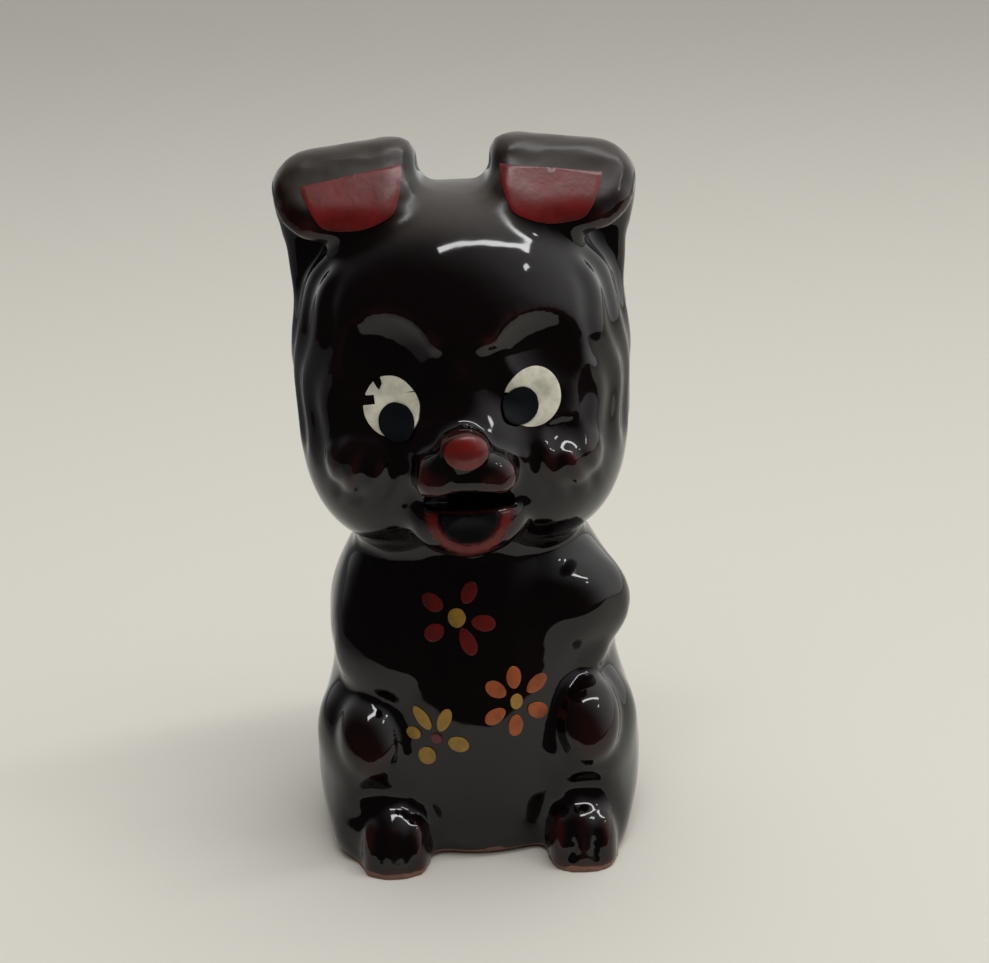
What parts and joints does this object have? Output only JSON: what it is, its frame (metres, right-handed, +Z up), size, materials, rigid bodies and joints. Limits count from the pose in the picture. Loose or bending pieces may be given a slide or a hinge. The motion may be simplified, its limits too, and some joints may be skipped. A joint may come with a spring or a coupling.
{
  "type": "money box",
  "caption": "Glazed ceramic money box shaped as a seated puppy with folded ears, painted flowers, a coin slot in the back of the head and a cork stopper in the base.",
  "frame": {"origin": "under the middle of the figure's box, in the plane of the flat foot rim", "axes": "+Z up, -Y the way the dog faces, +X towards the dog's left"},
  "size_m": [0.0698, 0.0738, 0.1404],
  "materials": {
    "brown_glaze": "near-black brown gloss glaze over red clay, bare at the foot rim and inside",
    "cork": "natural cork, matte",
    "white_enamel": "aged off-white enamel, satin, crazed",
    "black_enamel": "black enamel, satin",
    "red_enamel": "dull red enamel, satin",
    "orange_enamel": "orange enamel, satin",
    "yellow_enamel": "yellow enamel, satin"
  },
  "bodies": {
    "money_box": {"ceramic_casting": "brown_glaze", "left_ear_paint": "red_enamel", "left_eye_white": "white_enamel", "left_pupil": "black_enamel", "lip_paint": "red_enamel", "mouth_paint": "black_enamel", "nose_paint": "red_enamel", "orange_flower_eye": "yellow_enamel", "orange_flower_petal_1": "orange_enamel", "orange_flower_petal_2": "orange_enamel", "orange_flower_petal_3": "orange_enamel", "orange_flower_petal_4": "orange_enamel", "orange_flower_petal_5": "orange_enamel", "orange_flower_petal_6": "orange_enamel", "red_flower_eye": "yellow_enamel", "red_flower_petal_1": "red_enamel", "red_flower_petal_2": "red_enamel", "red_flower_petal_3": "red_enamel", "red_flower_petal_4": "red_enamel", "red_flower_petal_5": "red_enamel", "right_ear_paint": "red_enamel", "right_eye_white": "white_enamel", "right_pupil": "black_enamel", "side_flower_eye": "yellow_enamel", "side_flower_petal_1": "orange_enamel", "side_flower_petal_2": "orange_enamel", "side_flower_petal_3": "orange_enamel", "side_flower_petal_4": "orange_enamel", "side_flower_petal_5": "orange_enamel", "side_flower_petal_6": "orange_enamel", "yellow_flower_eye": "red_enamel", "yellow_flower_petal_1": "yellow_enamel", "yellow_flower_petal_2": "yellow_enamel", "yellow_flower_petal_3": "yellow_enamel", "yellow_flower_petal_4": "yellow_enamel", "yellow_flower_petal_5": "yellow_enamel"},
    "stopper": {"cork_stopper": "cork"}
  },
  "joints": [
    {"name": "stopper_pull", "type": "slide", "parent": "money_box", "child": "stopper", "axis": [0, 0, -1], "range_m": [0, 0.03]}
  ]
}
